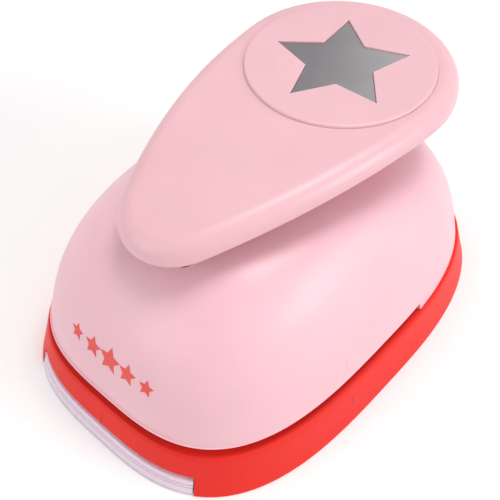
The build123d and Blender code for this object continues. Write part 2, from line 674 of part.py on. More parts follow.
# Lever: hollow teardrop with hinge lugs, roller cheeks and a socket for the badge
with BuildPart() as lever_shell:
    add(lever_solid(0, LEVER_RIM_T))
    add(lever_solid(LEVER_WALL, LEVER_RIM_T), mode=Mode.SUBTRACT)
    for lug_x in (-LUG_OUT_X, LUG_OUT_X - LUG_T):
        with BuildSketch(Plane.YZ.offset(lug_x)):
            with Locations((PIVOT_Y, PIVOT_Z)):
                Circle(LUG_R)
            with Locations((PIVOT_Y, (PIVOT_Z + LUG_TOP_Z) / 2)):
                Rectangle(2 * LUG_R, LUG_TOP_Z - PIVOT_Z)
            with Locations((PIVOT_Y, PIVOT_Z)):
                Circle(PIN_R + RUNNING_FIT, mode=Mode.SUBTRACT)
        extrude(amount=LUG_T)
    for cheek_x in (-ROLLER_HALF_W - CHEEK_GAP - CHEEK_T, ROLLER_HALF_W + CHEEK_GAP):
        with BuildSketch(Plane.YZ.offset(cheek_x)):
            with Locations((ROLLER_Y, roller_z)):
                Circle(CHEEK_R)
            with Locations((ROLLER_Y, (roller_z + LEVER_TOP_Z - LEVER_WALL) / 2)):
                Rectangle(2 * CHEEK_R, LEVER_TOP_Z - LEVER_WALL - roller_z)
            with Locations((ROLLER_Y, roller_z)):
                Circle(ROLLER_PIN_R, mode=Mode.SUBTRACT)
        extrude(amount=CHEEK_T)
    with Locations((0, BADGE_Y, BADGE_TOP_Z)):
        Cylinder(BADGE_R + BADGE_GROOVE, BADGE_T, align=TOP, mode=Mode.SUBTRACT)
lever_shell.part.label = "lever_shell"
export_step(lever_shell.part, "parts/lever_shell.step")

# Round badge disc in the lever's socket
with BuildPart() as badge_disc:
    with Locations((0, BADGE_Y, BADGE_TOP_Z)):
        Cylinder(BADGE_R, BADGE_T, align=TOP)
    fillet(badge_disc.edges().group_by(Axis.Z)[-1], BADGE_EDGE_R)
    with BuildSketch(Plane.XY.offset(BADGE_TOP_Z - INLAY_SUNK - INLAY_T)):
        with Locations((0, BADGE_Y)):
            add(star(STAR_TIP_R, STAR_ROOT_R, INLAY_TURN))
    extrude(amount=INLAY_SUNK + INLAY_T, mode=Mode.SUBTRACT)
badge_disc.part.label = "badge_disc"
export_step(badge_disc.part, "parts/badge_disc.step")

# Brushed metal star let into the badge
with BuildPart() as star_inlay:
    with BuildSketch(Plane.XY.offset(BADGE_TOP_Z - INLAY_SUNK - INLAY_T)):
        with Locations((0, BADGE_Y)):
            add(star(STAR_TIP_R, STAR_ROOT_R, INLAY_TURN))
    extrude(amount=INLAY_T)
star_inlay.part.label = "star_inlay"
export_step(star_inlay.part, "parts/star_inlay.step")

# Roller under the lever and its pin
with BuildPart() as cam_roller:
    with Locations(Location((0, ROLLER_Y, roller_z), (0, 90, 0))):
        Cylinder(ROLLER_R, 2 * ROLLER_HALF_W)
        Cylinder(ROLLER_PIN_R + RUNNING_FIT, 2 * ROLLER_HALF_W, mode=Mode.SUBTRACT)
    fillet(cam_roller.edges().group_by(Axis.X)[-1].sort_by(SortBy.LENGTH)[-1], ROLLER_EDGE_R)
    fillet(cam_roller.edges().group_by(Axis.X)[0].sort_by(SortBy.LENGTH)[-1], ROLLER_EDGE_R)
cam_roller.part.label = "cam_roller"
export_step(cam_roller.part, "parts/cam_roller.step")

with BuildPart() as roller_pin:
    with Locations(Location((0, ROLLER_Y, roller_z), (0, 90, 0))):
        Cylinder(ROLLER_PIN_R, 2 * (ROLLER_HALF_W + CHEEK_GAP + CHEEK_T))
roller_pin.part.label = "roller_pin"
export_step(roller_pin.part, "parts/roller_pin.step")
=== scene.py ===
import math

import bpy
import numpy as np
from mathutils import Matrix, Vector


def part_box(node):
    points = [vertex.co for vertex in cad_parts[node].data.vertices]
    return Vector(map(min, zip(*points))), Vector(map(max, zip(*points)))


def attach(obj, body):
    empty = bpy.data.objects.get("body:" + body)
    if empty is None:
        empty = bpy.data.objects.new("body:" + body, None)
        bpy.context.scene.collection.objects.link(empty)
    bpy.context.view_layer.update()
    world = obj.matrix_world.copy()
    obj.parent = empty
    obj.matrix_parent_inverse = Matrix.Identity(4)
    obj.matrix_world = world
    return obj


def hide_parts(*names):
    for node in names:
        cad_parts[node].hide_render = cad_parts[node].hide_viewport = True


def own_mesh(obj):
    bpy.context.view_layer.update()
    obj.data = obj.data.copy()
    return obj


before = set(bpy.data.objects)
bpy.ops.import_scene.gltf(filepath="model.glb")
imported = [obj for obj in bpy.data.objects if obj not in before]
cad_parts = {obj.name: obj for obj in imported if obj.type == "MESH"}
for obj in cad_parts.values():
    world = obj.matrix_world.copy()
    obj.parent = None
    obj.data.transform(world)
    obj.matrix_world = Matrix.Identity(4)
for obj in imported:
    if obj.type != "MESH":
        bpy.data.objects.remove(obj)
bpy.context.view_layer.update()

# ---------------------------------------------------------------- sizes, in metres
MM = 0.001
base_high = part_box("base_shell")[1]
lever_low, lever_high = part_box("lever_shell")
badge_low, badge_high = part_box("badge_disc")
inlay_low, inlay_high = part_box("star_inlay")
die_low, die_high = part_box("die_plate")
tray_top_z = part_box("chip_tray")[1].z
guide_low, guide_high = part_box("guide_plate")
roller_low, roller_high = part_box("cam_roller")
pin_low, pin_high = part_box("tray_pins")
spring_low, spring_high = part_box("return_springs")

# the plan is a superellipse, squarer in front than behind; half sizes are (X, Y)
FRONT_POWER = 3.12
REAR_POWER = 2.8
FOOT = (base_high.x - 0.02 * MM, base_high.y - 0.02 * MM)
FLARE = (39.1 * MM, 54.7 * MM)
FLARE_Z = 4.2 * MM
BED = (37.9 * MM, 52.4 * MM)
BED_Z = base_high.z
DECK_Z = 6.6 * MM
WALL = 2.2 * MM
CHIP_HOLE_R = 18.0 * MM
POCKET_FIT = 0.1 * MM
POCKET_CORNER_R = 0.4 * MM
BASE_FOOT_EDGE_R = 0.3 * MM
BASE_TOP_EDGE_R = 0.4 * MM
SLOT_GAP = guide_low.z - BED_Z
SLOT_REAR_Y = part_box("rear_spacer")[0].y

DOME = (37.2 * MM, 51.8 * MM)
DOME_TOP_Z = 47.2 * MM
DOME_POWER_Z = 3.06
DOME_POWER_R = 2.75
DOME_DRAFT = 4.3
SADDLE_FRONT = (-25.0 * MM, 45.6 * MM)
SADDLE_REAR = (27.0 * MM, 40.4 * MM)
SADDLE_BLEND = 3.4 * MM
WINDOW_HALF_W = 6.8 * MM
WINDOW_Y = (-30.7 * MM, -5.0 * MM)
WINDOW_R = 2.4 * MM
HOUSING_EDGE_R = 0.35 * MM
BOSS_PLACES = ((-24, 32), (24, 32), (-24, -36), (24, -36))
BOSS_R = 3.2 * MM
BOSS_BORE_R = 1.5 * MM

WIDE_R = lever_high.x
WIDE_Y = lever_high.y - WIDE_R
NARROW_R = 12.7 * MM
NARROW_Y = lever_low.y + NARROW_R
SIDE_R = 140.0 * MM
LEVER_TOP_Z = lever_high.z
LEVER_RIM_T = 4.6 * MM
LEVER_EDGE_R = 3.6 * MM
LEVER_BEND_Y = 13.0 * MM
LEVER_BEND_R = 250.0 * MM
BADGE_Y = (badge_low.y + badge_high.y) / 2
BADGE_R = badge_high.x
BADGE_EDGE_R = 0.55 * MM
BADGE_SOCKET_GAP = 0.04 * MM
LEVER_LOW_EDGE_R = 0.5 * MM
LEVER_CEILING_R = 1.0 * MM
PIVOT = (-26.0 * MM, 44.0 * MM)
LUG_R = 3.6 * MM
LUG_TOP_Z = 52.5 * MM
LUG_X = (2.0 * MM, 4.0 * MM)
LUG_BORE_R = 1.55 * MM
CHEEK_R = 3.2 * MM
CHEEK_X = (2.9 * MM, 4.7 * MM)
CHEEK_BORE_R = 1.3 * MM
DIE_Y = -13.5 * MM

STAR_TIP_R = 15.5 * MM
STAR_ROOT_R = 7.75 * MM
INLAY_TURN = -5.0
STAR_LIP = 0.1 * MM
INLAY_GAP = 0.06 * MM
INLAY_BEVEL = 0.09 * MM

TRAY_HINGE = ((pin_low.y + pin_high.y) / 2, (pin_low.z + pin_high.z) / 2)
KNUCKLE_R = 2.3 * MM
KNUCKLE_BORE_R = 1.15 * MM
KNUCKLE_X = (12.5 * MM, 16.5 * MM)
HINGE_BRACKET_X = (17.2 * MM, 21.8 * MM)
HINGE_BRACKET_BORE_R = 1.08 * MM
TRAY_END_Y = 38.6 * MM
TRAY_GAP = 0.4 * MM
TRAY_FLOOR_T = 1.5 * MM
TRAY_LIP_HALF_X = 25.2 * MM
# the base's front window clears the tray's highest point, which is its knuckles, not its lip
LIP_WINDOW_GAP = 0.25 * MM


# ---------------------------------------------------------------- mesh helpers
def new_piece(name, points, faces, material, body, replaced=(), smooth_angle=35.0):
    """Makes a mesh object, shades it smooth except at sharp edges, and hands it to the frame."""
    mesh = bpy.data.meshes.new(name)
    mesh.from_pydata([tuple(p) for p in points], [], faces)
    mesh.update()
    piece = bpy.data.objects.new(name, mesh)
    bpy.context.scene.collection.objects.link(piece)
    mesh.materials.append(material)
    mesh.shade_smooth()
    mesh.set_sharp_from_angle(angle=math.radians(smooth_angle))
    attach(piece, body)
    if replaced:
        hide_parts(*replaced)
    return piece


class Shape:
    """Points and faces of one piece, gathered from closed parts."""

    def __init__(self):
        self.points = []
        self.faces = []

    def rings(self, rings, loop=False):
        """Skins a list of rings with as many points each. Without loop, both ends are capped."""
        start, first_face = len(self.points), len(self.faces)
        count = len(rings[0])
        for ring in rings:
            self.points.extend(np.asarray(ring, float))
        spans = len(rings) if loop else len(rings) - 1
        for i in range(spans):
            low = start + i * count
            high = start + ((i + 1) % len(rings)) * count
            for k in range(count):
                n = (k + 1) % count
                self.faces.append((low + k, low + n, high + n, high + k))
        if not loop:
            self.cap(start, count, True)
            self.cap(start + (len(rings) - 1) * count, count, False)
        self.turn_outwards(first_face)

    def turn_outwards(self, first_face):
        """Reverses the faces from first_face on if they enclose their solid inside out."""
        points = np.array(self.points)
        part = self.faces[first_face:]
        triangles = np.array([(f[0], f[i], f[i + 1]) for f in part for i in range(1, len(f) - 1)])
        a, b, c = (points[triangles[:, i]] for i in range(3))
        if np.einsum("ij,ij->i", a, np.cross(b, c)).sum() < 0:
            self.faces[first_face:] = [face[::-1] for face in part]

    def cap(self, first, count, flipped):
        """Closes a ring with triangles round its middle."""
        centre = len(self.points)
        ring = np.array(self.points[first:first + count])
        self.points.append(ring.mean(0))
        for k in range(count):
            n = (k + 1) % count
            face = (first + n, first + k, centre) if flipped else (first + k, first + n, centre)
            self.faces.append(face)


def lift(outline, z):
    """Adds a height, one number or one for each point, to a flat outline."""
    outline = np.asarray(outline, float)
    return np.column_stack([outline, np.broadcast_to(z, len(outline))])


def superellipse(angles, half_w, half_l):
    """Points of the body's outline, squarer in front (-Y) than behind."""
    cos, sin = np.cos(angles), np.sin(angles)
    power = 2 / np.where(sin < 0, FRONT_POWER, REAR_POWER)
    x = half_w * np.sign(cos) * np.abs(cos) ** power
    y = half_l * np.sign(sin) * np.abs(sin) ** power
    return np.column_stack([x, y])


def along(outline, shares):
    """Points of a closed outline at the given shares of its length."""
    closed = np.vstack([outline, outline[:1]])
    steps = np.linalg.norm(np.diff(closed, axis=0), axis=1)
    length = np.concatenate([[0], np.cumsum(steps)])
    shares = np.asarray(shares) * length[-1]
    return np.column_stack([np.interp(shares, length, closed[:, i]) for i in range(2)])


def rounded_rectangle(low_x, high_x, low_y, high_y, radius, corner_points=12):
    """Outline that starts at the middle of the +X side and runs towards +Y."""
    points = [(high_x, (low_y + high_y) / 2)]
    corners = (
        (high_x - radius, high_y - radius, 0),
        (low_x + radius, high_y - radius, 90),
        (low_x + radius, low_y + radius, 180),
        (high_x - radius, low_y + radius, 270),
    )
    for centre_x, centre_y, start in corners:
        for k in range(corner_points + 1):
            angle = math.radians(start + 90 * k / corner_points)
            points.append((centre_x + radius * math.cos(angle), centre_y + radius * math.sin(angle)))
    return np.array(points)


def side_plate(shape, low_x, high_x, outer, hole):
    """Adds a plate standing across X, its outline and hole given as (y, z) points."""
    rings = []
    for x, outline in ((low_x, outer), (high_x, outer), (high_x, hole), (low_x, hole)):
        outline = np.asarray(outline)
        rings.append(np.column_stack([np.full(len(outline), x), outline]))
    shape.rings(rings, loop=True)


def arm_outline(centre, radius, top_z, count=48):
    """(y, z) outline of an arm: half round at the bottom, straight sides up to top_z."""
    turn = np.linspace(0, 2 * math.pi, count, endpoint=False)
    y = centre[0] + radius * np.cos(turn)
    z = centre[1] + radius * np.sin(turn)
    upper = np.sin(turn) > 1e-6
    steep = np.minimum(1, np.abs(np.sin(turn)) / np.maximum(np.abs(np.cos(turn)), 1e-6))
    wide = np.minimum(1, np.abs(np.cos(turn)) / np.maximum(np.abs(np.sin(turn)), 1e-6))
    y = np.where(upper, centre[0] + radius * np.sign(np.cos(turn)) * wide, y)
    z = np.where(upper, centre[1] + (top_z - centre[1]) * steep, z)
    return np.column_stack([y, z])


def circle_yz(centre, radius, count=48):
    turn = np.linspace(0, 2 * math.pi, count, endpoint=False)
    return np.column_stack([centre[0] + radius * np.cos(turn), centre[1] + radius * np.sin(turn)])


def smooth_step(value, edge, width):
    """0 well below the edge, 1 well above it."""
    t = np.clip((np.asarray(value) - edge) / width + 0.5, 0, 1)
    return t * t * (3 - 2 * t)


# ---------------------------------------------------------------- columns shared by base, housing and tray
# width over which an edge steps up or down, and half width of the base's front window
STEP_W = 0.25 * MM
LIP_HALF_X = 25.4 * MM


def column_angles(count=300):
    """Angles evenly spaced along the foot, with extra ones where an edge steps up or down."""
    dense = np.linspace(0, 2 * math.pi, 40001)
    foot = superellipse(dense, *FOOT)
    length = np.concatenate([[0], np.cumsum(np.linalg.norm(np.diff(foot, axis=0), axis=1))])
    marks = []
    for offset in np.linspace(-0.6, 0.6, 9) * STEP_W:
        for side in (-1, 1):
            slot_end = np.abs(foot[:, 1] - SLOT_REAR_Y - offset) + (foot[:, 0] * side < 0)
            lip_end = np.abs(foot[:, 0] - side * LIP_HALF_X - offset) + (foot[:, 1] > 0)
            marks += [length[np.argmin(slot_end)], length[np.argmin(lip_end)]]
    places = np.concatenate([np.arange(count) * length[-1] / count, marks])
    return np.interp(np.unique(np.round(places, 7)), length, dense)


columns = column_angles()
column_shares = columns / (2 * math.pi)
foot_outline = superellipse(columns, *FOOT)
in_front_window = (
    smooth_step(foot_outline[:, 0], -LIP_HALF_X, STEP_W)
    * (1 - smooth_step(foot_outline[:, 0], LIP_HALF_X, STEP_W))
    * (foot_outline[:, 1] < 0)
)
behind_slot = smooth_step(foot_outline[:, 1], SLOT_REAR_Y, STEP_W)


def outline_at(size, inset=0.0):
    return superellipse(columns, size[0] - inset, size[1] - inset)


def skirt_size(z):
    """Half sizes of the base at a height: it flares outwards in two steps."""
    t = np.interp(z, [0, FLARE_Z, BED_Z], [0, 1, 2])
    return tuple(np.interp(t, [0, 1, 2], [FOOT[i], FLARE[i], BED[i]]) for i in range(2))


def skirt_ring(z, inset=0.0):
    """Ring on the skirt at a height that may differ from column to column."""
    z = np.broadcast_to(z, len(columns))
    half_w, half_l = skirt_size(z)
    flat = superellipse(columns, half_w - inset, half_l - inset)
    return lift(flat, z)


# ---------------------------------------------------------------- materials
def material(name, colour, **sockets):
    """Principled material; the keywords set its own sockets."""
    made = bpy.data.materials.new(name)
    made.use_nodes = True
    shader = made.node_tree.nodes["Principled BSDF"]
    shader.inputs["Base Color"].default_value = (*colour, 1)
    for socket, value in sockets.items():
        shader.inputs[socket.replace("_", " ").title().replace("Ior", "IOR")].default_value = value
    return made, made.node_tree, shader


def noise(tree, scale, detail=3.0, stretch=(1, 1, 1)):
    """Noise in the object's own coordinates, scale in features per metre."""
    place = tree.nodes.new("ShaderNodeTexCoord")
    mapping = tree.nodes.new("ShaderNodeMapping")
    mapping.inputs["Scale"].default_value = stretch
    texture = tree.nodes.new("ShaderNodeTexNoise")
    texture.inputs["Scale"].default_value = scale
    texture.inputs["Detail"].default_value = detail
    tree.links.new(place.outputs["Object"], mapping.inputs["Vector"])
    tree.links.new(mapping.outputs["Vector"], texture.inputs["Vector"])
    return texture.outputs["Fac"]


def ramp(tree, factor, stops):
    """Colours a factor by a list of (position, colour) stops."""
    node = tree.nodes.new("ShaderNodeValToRGB")
    elements = node.color_ramp.elements
    while len(elements) < len(stops):
        elements.new(0.5)
    for element, (position, colour) in zip(elements, stops):
        element.position = position
        element.color = (*colour, 1)
    tree.links.new(factor, node.inputs["Fac"])
    return node.outputs["Color"]


def spread(tree, factor, low, high):
    """Stretches a 0 to 1 factor to the range low to high."""
    node = tree.nodes.new("ShaderNodeMapRange")
    node.inputs["To Min"].default_value = low
    node.inputs["To Max"].default_value = high
    tree.links.new(factor, node.inputs["Value"])
    return node.outputs["Result"]


def bumps(tree, shader, height, distance, strength=1.0):
    node = tree.nodes.new("ShaderNodeBump")
    node.inputs["Distance"].default_value = distance
    node.inputs["Strength"].default_value = strength
    tree.links.new(height, node.inputs["Height"])
    tree.links.new(node.outputs["Normal"], shader.inputs["Normal"])


def tinted(colour, factor):
    return tuple(min(1.0, c * factor) for c in colour)


def mix(tree, factor, first, second):
    """Blends two colours, each of them a plain colour or another node's output."""
    node = tree.nodes.new("ShaderNodeMix")
    node.data_type = "RGBA"
    tree.links.new(factor, node.inputs["Factor"])
    for socket, value in (("A", first), ("B", second)):
        target = [s for s in node.inputs if s.name == socket and s.type == "RGBA"][0]
        if isinstance(value, tuple):
            target.default_value = (*value, 1)
        else:
            tree.links.new(value, target)
    return [s for s in node.outputs if s.type == "RGBA"][0]


def moulded_plastic(name, colour, roughness, subsurface=0.12, grain=0.000012):
    """Satin plastic: cloudy pigment with fine pale specks, spark-eroded grain, faint flow marks."""
    made, tree, shader = material(name, colour, roughness=roughness)
    shader.inputs["Subsurface Weight"].default_value = subsurface
    shader.inputs["Subsurface Radius"].default_value = (0.004, 0.002, 0.002)
    shader.inputs["Subsurface Scale"].default_value = 1.0
    shader.inputs["Specular IOR Level"].default_value = 0.5
    cloud = noise(tree, 60, 4)
    pigment = ramp(tree, cloud, [(0.3, tinted(colour, 0.965)), (0.7, tinted(colour, 1.025))])
    speck = spread(tree, noise(tree, 2400, 1), -0.6, 0.35)
    paler = tuple(c + (1 - c) * 0.12 * min(colour) for c in colour)
    tree.links.new(mix(tree, speck, pigment, paler), shader.inputs["Base Color"])
    flow = noise(tree, 220, 2, (1, 0.2, 1))
    tree.links.new(spread(tree, flow, roughness - 0.05, roughness + 0.06), shader.inputs["Roughness"])
    bumps(tree, shader, noise(tree, 5200, 2), grain, 0.6)
    return made


def steel(name, colour, roughness, stretch=(1, 25, 1), bump=0.00002):
    """Ground steel: brush lines along one axis, uneven sheen, faint darker stains."""
    made, tree, shader = material(name, colour, metallic=1.0, roughness=roughness)
    stain = noise(tree, 90, 5)
    shades = [(0.35, tinted(colour, 0.82)), (0.65, tinted(colour, 1.08))]
    tree.links.new(ramp(tree, stain, shades), shader.inputs["Base Color"])
    brush = noise(tree, 900, 4, stretch)
    tree.links.new(spread(tree, brush, roughness - 0.08, roughness + 0.12), shader.inputs["Roughness"])
    bumps(tree, shader, brush, bump, 0.5)
    return made


def painted_reflection_gradient(made, dark, light):
    """Paints a reflection gradient into a steel's colour: darker towards its front left corner, lighter
    towards its back right.
    """
    tree = made.node_tree
    shader = tree.nodes["Principled BSDF"]
    stained = shader.inputs["Base Color"].links[0].from_socket
    place = tree.nodes.new("ShaderNodeTexCoord").outputs["Object"]
    across = tree.nodes.new("ShaderNodeVectorMath")
    across.operation = "DOT_PRODUCT"
    across.inputs[1].default_value = (26, 20, 0)
    tree.links.new(place, across.inputs[0])
    # painted reflection: a colour ramp across the steel from a shaded front left to a lit back right
    painted_reflection_tone = ramp(tree, across.outputs["Value"], [(0.3, dark), (0.95, light)])
    # mostly the painted reflection, with 15 to 35 per cent of the stained steel mixed in
    blended = mix(tree, spread(tree, noise(tree, 40, 2), 0.15, 0.35), painted_reflection_tone, (0.5, 0.5, 0.5))
    tree.links.new(stained, [s for s in blended.node.inputs if s.name == "B" and s.type == "RGBA"][0])
    tree.links.new(blended, shader.inputs["Base Color"])


def clear_plastic(name, colour):
    """Translucent tray plastic: faint haze, drawn lines along the lip."""
    made, tree, shader = material(name, colour, roughness=0.28, ior=1.49)
    shader.inputs["Transmission Weight"].default_value = 0.1
    shader.inputs["Subsurface Weight"].default_value = 0.4
    shader.inputs["Subsurface Radius"].default_value = (0.004, 0.003, 0.004)
    shader.inputs["Subsurface Scale"].default_value = 1.0
    haze = noise(tree, 130, 4)
    shades = [(0.3, tinted(colour, 0.98)), (0.7, tinted(colour, 1.02))]
    tree.links.new(ramp(tree, haze, shades), shader.inputs["Base Color"])
    lines = noise(tree, 260, 1, (0.4, 0.4, 4))
    tree.links.new(spread(tree, lines, 0.24, 0.32), shader.inputs["Roughness"])
    bumps(tree, shader, lines, 0.00001, 0.15)
    return made


PINK = (0.85, 0.50, 0.56)
LEVER_PINK = (0.775, 0.46, 0.50)
RED = (0.78, 0.022, 0.014)
LILAC = (0.92, 0.72, 0.86)

pink_plastic = moulded_plastic("pink_plastic", PINK, 0.37)
lever_plastic = moulded_plastic("lever_plastic", LEVER_PINK, 0.35)
red_plastic = moulded_plastic("red_plastic", RED, 0.46, 0.05)
red_plastic.node_tree.nodes["Principled BSDF"].inputs["Specular IOR Level"].default_value = 0.2
mark_red = moulded_plastic("mark_red", (0.80, 0.075, 0.06), 0.45, 0.05)
# painted shade: the two groove materials are darker copies of the red and pink plastics, standing for the
# shade inside the engraved ticks
groove_shade_red = moulded_plastic("groove_shade_red", (0.42, 0.012, 0.012), 0.55, 0.0)
groove_shade_pink = moulded_plastic("groove_shade_pink", (0.72, 0.40, 0.46), 0.5, 0.0)
white_plastic = moulded_plastic("white_plastic", (0.82, 0.81, 0.78), 0.4)
tray_plastic = clear_plastic("tray_plastic", LILAC)
star_metal = steel("star_metal", (0.50, 0.485, 0.50), 0.36, (1, 18, 1), 0.00001)
# painted reflection: the star's colour darkens towards its front left and brightens towards its back right
painted_reflection_gradient(star_metal, (0.30, 0.275, 0.295), (0.62, 0.61, 0.62))
plate_steel = steel("plate_steel", (0.56, 0.56, 0.57), 0.28)
zinc_steel = steel("zinc_steel", (0.63, 0.63, 0.62), 0.22, (6, 6, 1))
spring_steel = steel("spring_steel", (0.50, 0.50, 0.52), 0.25, (1, 1, 12))

CAD_FINISH = {
    plate_steel: ("die_plate", "guide_plate", "star_punch", "punch_holder", "lever_bracket"),
    zinc_steel: (
        "die_screws", "housing_screws", "guide_screws", "bracket_rivets", "pin_clips",
        "holder_screws", "lever_pin", "roller_pin", "spring_posts", "tray_pins",
    ),
    white_plastic: ("cam_roller", "pressure_cap"),
    red_plastic: ("rear_spacer",),
}
for finish, names in CAD_FINISH.items():
    for node_name in names:
        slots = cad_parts[node_name].data.materials
        slots.clear()
        slots.append(finish)


# ---------------------------------------------------------------- red base
def make_base():
    shape = Shape()
    window_z = tray_top_z + LIP_WINDOW_GAP
    foot_z = window_z * in_front_window
    edge = BASE_FOOT_EDGE_R
    # skirt, from its rounded foot to its rounded top edge
    rings = []
    for k in range(7):
        angle = math.pi / 2 * k / 6
        rings.append(skirt_ring(foot_z + edge * (1 - math.sin(angle)), edge * (1 - math.cos(angle))))
    rings = rings[::-1]
    for share in np.linspace(0.06, 0.94, 12):
        rings.append(skirt_ring(foot_z + edge + (BED_Z - foot_z - 2 * edge) * share))
    for k in range(7):
        angle = math.pi / 2 * k / 6
        z = BED_Z - BASE_TOP_EDGE_R * (1 - math.sin(angle))
        rings.append(lift(outline_at(BED, BASE_TOP_EDGE_R * (1 - math.cos(angle))), z))
    # bed, with the die's pocket and the chip hole in the pocket's floor
    pocket = rounded_rectangle(die_low.x - POCKET_FIT, die_high.x + POCKET_FIT,
                               die_low.y - POCKET_FIT, die_high.y + POCKET_FIT, POCKET_CORNER_R)
    pocket = along(pocket, column_shares)
    rim = outline_at(BED, BASE_TOP_EDGE_R)
    for t in (0.25, 0.5, 0.75, 0.97, 1.0):
        rings.append(lift(rim + (pocket - rim) * t, BED_Z))
    rings.append(lift(pocket, BED_Z - 0.3 * MM))
    rings.append(lift(pocket, die_low.z))
    hole = np.column_stack([CHIP_HOLE_R * np.cos(columns), DIE_Y + CHIP_HOLE_R * np.sin(columns)])
    for t in (0.5, 0.98, 1.0):
        rings.append(lift(pocket + (hole - pocket) * t, die_low.z))
    rings.append(lift(hole, die_low.z - 0.3 * MM))
    rings.append(lift(hole, DECK_Z))
    # underside of the deck and inner wall
    inner = outline_at(BED, WALL)
    for t in (0.02, 0.4, 0.8, 1.0):
        rings.append(lift(hole + (inner - hole) * t, DECK_Z))
    rings.append(lift(inner, DECK_Z - 0.4 * MM))
    rings.append(lift(inner, foot_z + 0.02 * MM))
    rings.append(skirt_ring(foot_z, edge + 0.3 * MM))
    shape.rings(rings, loop=True)
    # hinge brackets for the tray
    arm = arm_outline(TRAY_HINGE, KNUCKLE_R, DECK_Z + 0.3 * MM)
    for side in (-1, 1):
        x = sorted(side * place for place in HINGE_BRACKET_X)
        side_plate(shape, *x, arm, circle_yz(TRAY_HINGE, HINGE_BRACKET_BORE_R))
    new_piece("base_shell_visual", shape.points, shape.faces, red_plastic, "root",
              ["base_shell"])


make_base()


# ---------------------------------------------------------------- domed housing
share_table = np.linspace(0, 0.9999, 4000)


def crown_scale(share, inset=0.0):
    """How far the plan has shrunk at a share of the dome's height, and that height."""
    z = BED_Z + (DOME_TOP_Z - inset - BED_Z) * share
    crown = (1 - share**DOME_POWER_Z) ** (1 / DOME_POWER_R)
    return crown * (1 - DOME_DRAFT * (z - BED_Z)), z


def dome_height(flat, inset=0.0):
    """Height of the dome over flat points, from how far out each lies."""
    power = np.where(flat[:, 1] < 0, FRONT_POWER, REAR_POWER)
    reach_x = np.abs(flat[:, 0]) / (DOME[0] - inset)
    reach_y = np.abs(flat[:, 1]) / (DOME[1] - inset)
    reach = (reach_x**power + reach_y**power) ** (1 / power)
    scales, heights = crown_scale(share_table, inset)
    return np.interp(-reach, -scales, heights)


def saddle(points, inset=0.0):
    """Blends the dome smoothly under the slanting flat below the lever."""
    points = np.array(points, float)
    slope = (SADDLE_REAR[1] - SADDLE_FRONT[1]) / (SADDLE_REAR[0] - SADDLE_FRONT[0])
    flat_z = SADDLE_FRONT[1] - inset + slope * (points[:, 1] - SADDLE_FRONT[0])
    gap = np.clip(0.5 + 0.5 * (flat_z - points[:, 2]) / SADDLE_BLEND, 0, 1)
    blended = flat_z + (points[:, 2] - flat_z) * gap - SADDLE_BLEND * gap * (1 - gap)
    points[:, 2] = np.minimum(points[:, 2], blended)
    return points


def dome_side_ring(share, foot_z, inset=0.0):
    """Ring on the dome's flank. Each column starts at its own foot height."""
    top = DOME_TOP_Z - inset
    first = (foot_z - BED_Z) / (top - BED_Z)
    column_share = first + (1 - first) * share
    scale, z = crown_scale(column_share, inset)
    flat = superellipse(columns, (DOME[0] - inset) * scale, (DOME[1] - inset) * scale)
    return saddle(lift(flat, z), inset)


def make_housing():
    shape = Shape()
    foot_z = BED_Z + SLOT_GAP * (1 - behind_slot)
    edge = HOUSING_EDGE_R
    window = along(rounded_rectangle(-WINDOW_HALF_W, WINDOW_HALF_W, *WINDOW_Y, WINDOW_R), column_shares)
    flank_shares = 1 - np.linspace(1, 0.24, 40) ** 1.25

    def surface(inset, lowest):
        """Rings up the flank and over the crown to the edge of the hinge window."""
        rings = [dome_side_ring(share, lowest, inset) for share in flank_shares]
        last = rings[-1]
        for t in np.linspace(0.04, 1, 26):
            flat = last[:, :2] + (window - last[:, :2]) * t
            rings.append(saddle(lift(flat, dome_height(flat, inset)), inset))
        return rings

    outer = surface(0.0, foot_z + edge)
    inner = surface(WALL, foot_z + edge)
    rings = []
    foot_size = outer[0].max(0)[:2]
    for k in range(5):
        angle = math.pi / 2 * k / 5
        z = foot_z + edge * (1 - math.cos(angle))
        rings.append(lift(outline_at(foot_size, edge * (1 - math.sin(angle))), z))
    rings += outer
    lip = outer[-1].copy()
    lip[:, 2] -= 0.5 * MM
    rings.append(lip)
    low_lip = inner[-1].copy()
    low_lip[:, 2] += 0.3 * MM
    rings.append(low_lip)
    rings += inner[::-1]
    rings.append(lift(inner[0][:, :2] * 1.004, foot_z))
    shape.rings(rings, loop=True)
    # screw bosses
    turn = np.linspace(0, 2 * math.pi, 33)[:-1]
    circle = np.column_stack([np.cos(turn), np.sin(turn)])
    low = guide_high.z
    for place in BOSS_PLACES:
        centre = np.array(place) * MM
        top = float(dome_height(centre[None] * 1.05)[0]) - 2.6 * MM
        bore = centre + circle * BOSS_BORE_R
        wall = centre + circle * BOSS_R
        shape.rings([lift(bore, top - 2 * MM), lift(bore, low), lift(wall, low), lift(wall, top)])
    new_piece("housing_shell_visual", shape.points, shape.faces, pink_plastic, "root",
              ["housing_shell"])


make_housing()


